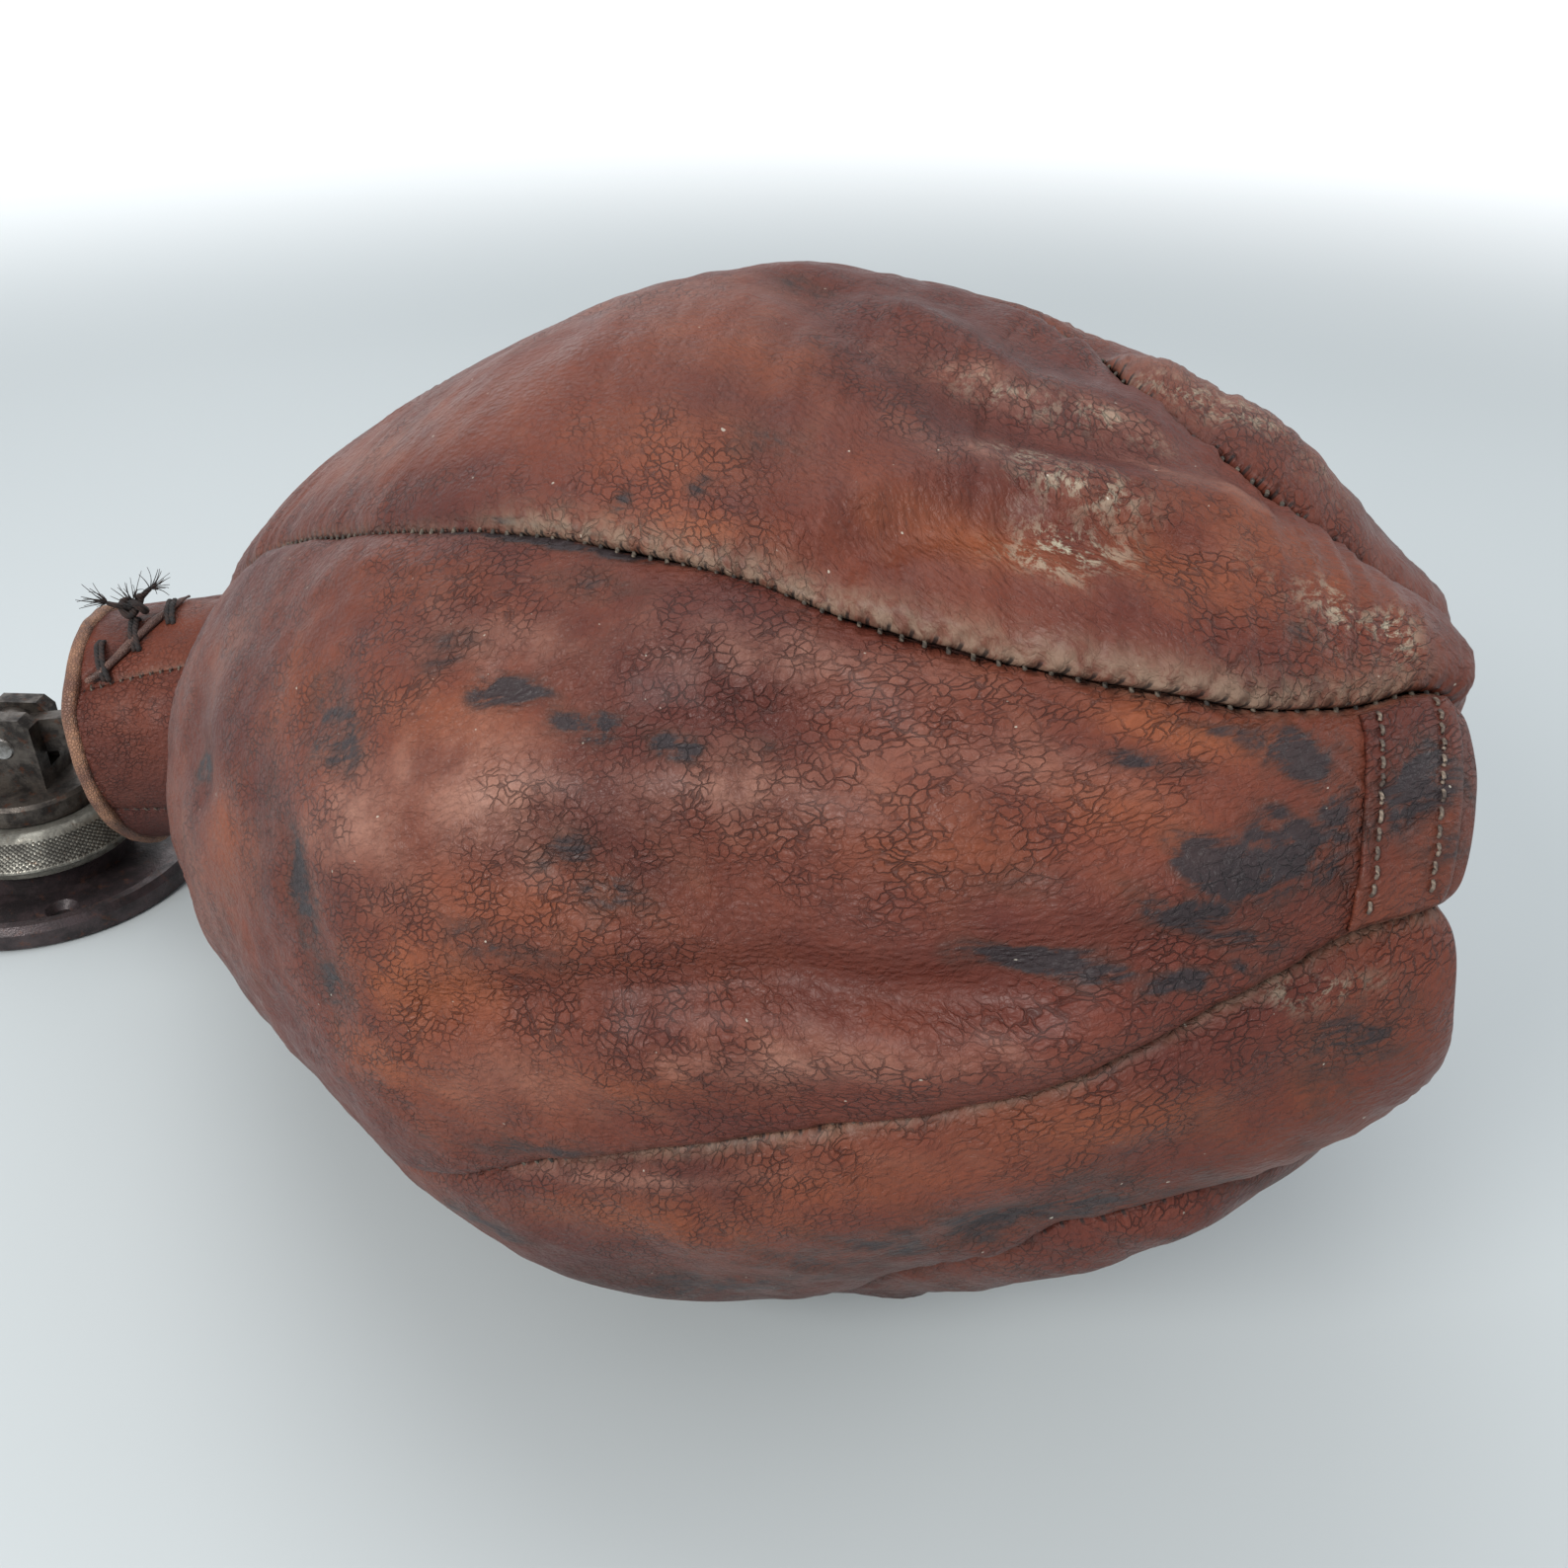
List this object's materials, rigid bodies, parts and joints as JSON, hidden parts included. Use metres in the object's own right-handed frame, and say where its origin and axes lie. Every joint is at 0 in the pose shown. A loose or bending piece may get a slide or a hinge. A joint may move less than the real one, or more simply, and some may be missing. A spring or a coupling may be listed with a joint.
{
  "type": "speed bag with ball bearing swivel",
  "caption": "Slack, laced leather speed bag of sewn gores lying on its side, its neck plug hung from a flanged ball bearing swivel.",
  "frame": {"origin": "centre of the swivel flange's mounting face", "axes": "+Z away from the surface the flange is screwed to; +X along the neck from the swivel towards the bag; the bag is turned towards -Y at rest"},
  "size_m": [0.4699, 0.2869, 0.2313],
  "materials": {
    "bag_leather": "worn, crackled, waxed mahogany",
    "rim_leather": "worn tan edge",
    "lace_cord": "frayed black cord",
    "plug_wood": "raw, darkened",
    "flange_enamel": "old dark enamel, glossy in the dish",
    "worn_nickel": "worn nickel over knurling",
    "dark_iron": "oiled brown iron, bright at the edges",
    "bearing_steel": "ground",
    "bladder_rubber": "matt",
    "tie_twine": "waxed twine"
  },
  "bodies": {
    "mount": {"flange_plate": "flange_enamel"},
    "lock_ring": {"lock_ring": "worn_nickel", "race_upper": "bearing_steel"},
    "ball_set": {"bearing_balls": "bearing_steel"},
    "swivel_head": {"spindle": "bearing_steel", "race_lower": "bearing_steel", "collar": "dark_iron", "fork": "dark_iron", "pivot_pin": "bearing_steel"},
    "neck": {"hanger": "dark_iron", "neck_plug": "plug_wood", "plug_washer": "bearing_steel", "plug_nut": "bearing_steel", "neck_rim": "rim_leather", "neck_sleeve": "bag_leather", "lacing_flap": "bag_leather", "lace": "lace_cord", "lace_knot": "lace_cord"},
    "bag": {"gore_front": "bag_leather", "gore_bottom": "bag_leather", "gore_under": "bag_leather", "gore_back": "bag_leather", "gore_back_top": "bag_leather", "gore_top": "bag_leather", "tail_disc": "bag_leather", "tail_patch": "bag_leather", "bladder": "bladder_rubber", "bladder_stem": "bladder_rubber", "stem_tie": "tie_twine"}
  },
  "joints": [
    {"name": "ring_turn", "type": "hinge", "parent": "mount", "child": "lock_ring", "pos_m": [0, 0, 0.02], "axis": [0, 0, 1], "range_deg": [0, 180]},
    {"name": "swivel_spin", "type": "hinge", "parent": "mount", "child": "swivel_head", "pos_m": [0, 0, 0.02], "axis": [0, 0, 1], "continuous": true},
    {"name": "ball_orbit", "type": "hinge", "parent": "mount", "child": "ball_set", "pos_m": [0, 0, 0.0145], "axis": [0, 0, 1], "continuous": true},
    {"name": "bag_swing", "type": "hinge", "parent": "swivel_head", "child": "neck", "pos_m": [0, 0, 0.0514], "axis": [0, -1, 0], "range_deg": [0, 148]},
    {"name": "neck_flex", "type": "hinge", "parent": "neck", "child": "bag", "pos_m": [0.09259, 0, 0.06441], "axis": [-0.1392, 0, 0.9903], "range_deg": [0, 65]}
  ],
  "couplings": [
    {"joint": "ball_orbit", "follows": "swivel_spin", "ratio": 0.5}
  ]
}
